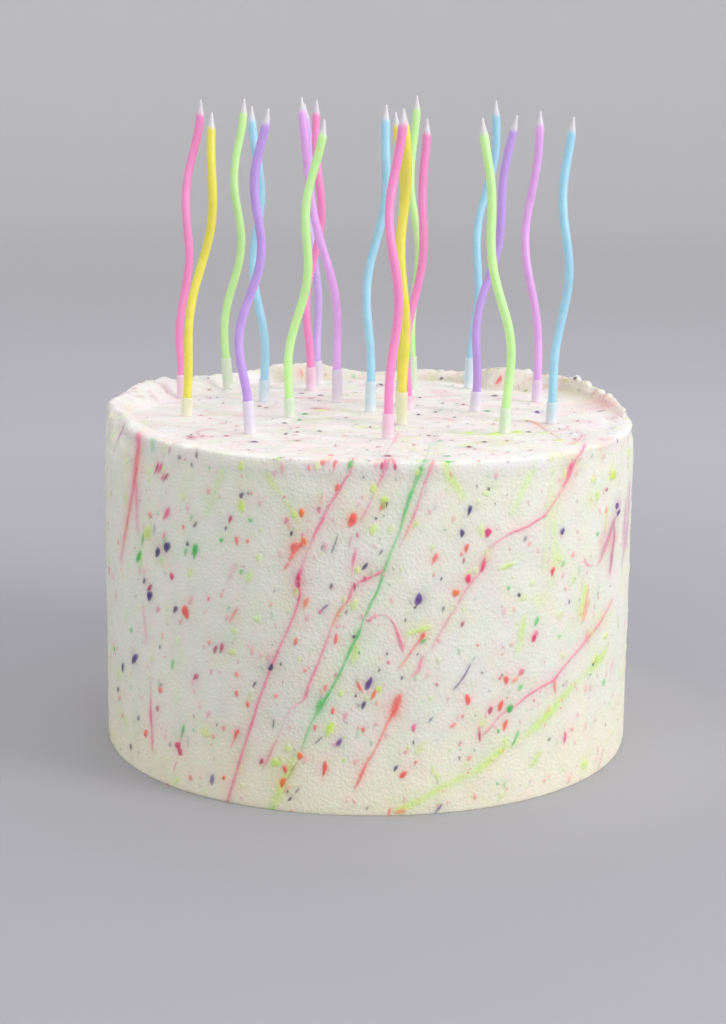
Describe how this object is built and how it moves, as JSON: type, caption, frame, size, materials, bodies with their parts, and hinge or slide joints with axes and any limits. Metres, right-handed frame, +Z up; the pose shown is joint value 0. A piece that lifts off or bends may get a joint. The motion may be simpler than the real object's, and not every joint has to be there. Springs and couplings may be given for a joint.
{
  "type": "birthday cake with candles",
  "caption": "Tall round iced cake with a flat top, a ragged raised lip and thin neon splatter; thin wavy candles stand in the top in small plastic cups.",
  "frame": {"origin": "centre of the flat base of the cake", "axes": "+Z up along the candles; -Y is the front, the smooth side of the lip, and +X is to the right seen from the front"},
  "size_m": [0.2078, 0.2074, 0.2498],
  "materials": {
    "icing": "matt off-white icing with a fine stippled grain, splattered with thin neon food colour",
    "wax_pink": "smooth satin candle wax, white at the tapered tip",
    "cup_pink": "pale, slightly see-through moulded plastic",
    "wax_yellow": "smooth satin candle wax, white at the tapered tip",
    "cup_yellow": "pale, slightly see-through moulded plastic",
    "wax_green": "smooth satin candle wax, white at the tapered tip",
    "cup_green": "pale, slightly see-through moulded plastic",
    "wax_blue": "smooth satin candle wax, white at the tapered tip",
    "cup_blue": "pale, slightly see-through moulded plastic",
    "wax_purple": "smooth satin candle wax, white at the tapered tip",
    "cup_purple": "pale, slightly see-through moulded plastic",
    "wax_violet": "smooth satin candle wax, white at the tapered tip",
    "cup_violet": "pale, slightly see-through moulded plastic",
    "wax_orchid": "smooth satin candle wax, white at the tapered tip",
    "cup_orchid": "pale, slightly see-through moulded plastic",
    "wax_lavender": "smooth satin candle wax, white at the tapered tip",
    "cup_lavender": "pale, slightly see-through moulded plastic"
  },
  "bodies": {
    "root": {"cake": "icing", "candle_01_pink": "wax_pink", "candle_02_yellow": "wax_yellow", "candle_03_green": "wax_green", "candle_04_blue": "wax_blue", "candle_05_purple": "wax_purple", "candle_06_violet": "wax_violet", "candle_07_pink": "wax_pink", "candle_08_green": "wax_green", "candle_09_lavender": "wax_lavender", "candle_10_blue": "wax_blue", "candle_11_pink": "wax_pink", "candle_12_yellow": "wax_yellow", "candle_13_green": "wax_green", "candle_14_pink": "wax_pink", "candle_15_blue": "wax_blue", "candle_16_green": "wax_green", "candle_17_purple": "wax_purple", "candle_18_orchid": "wax_orchid", "candle_19_blue": "wax_blue", "candle_20_yellow": "wax_yellow", "holder_01_pink": "cup_pink", "holder_02_yellow": "cup_yellow", "holder_03_green": "cup_green", "holder_04_blue": "cup_blue", "holder_05_purple": "cup_purple", "holder_06_violet": "cup_violet", "holder_07_pink": "cup_pink", "holder_08_green": "cup_green", "holder_09_lavender": "cup_lavender", "holder_10_blue": "cup_blue", "holder_11_pink": "cup_pink", "holder_12_yellow": "cup_yellow", "holder_13_green": "cup_green", "holder_14_pink": "cup_pink", "holder_15_blue": "cup_blue", "holder_16_green": "cup_green", "holder_17_purple": "cup_purple", "holder_18_orchid": "cup_orchid", "holder_19_blue": "cup_blue", "holder_20_yellow": "cup_yellow"}
  },
  "joints": []
}
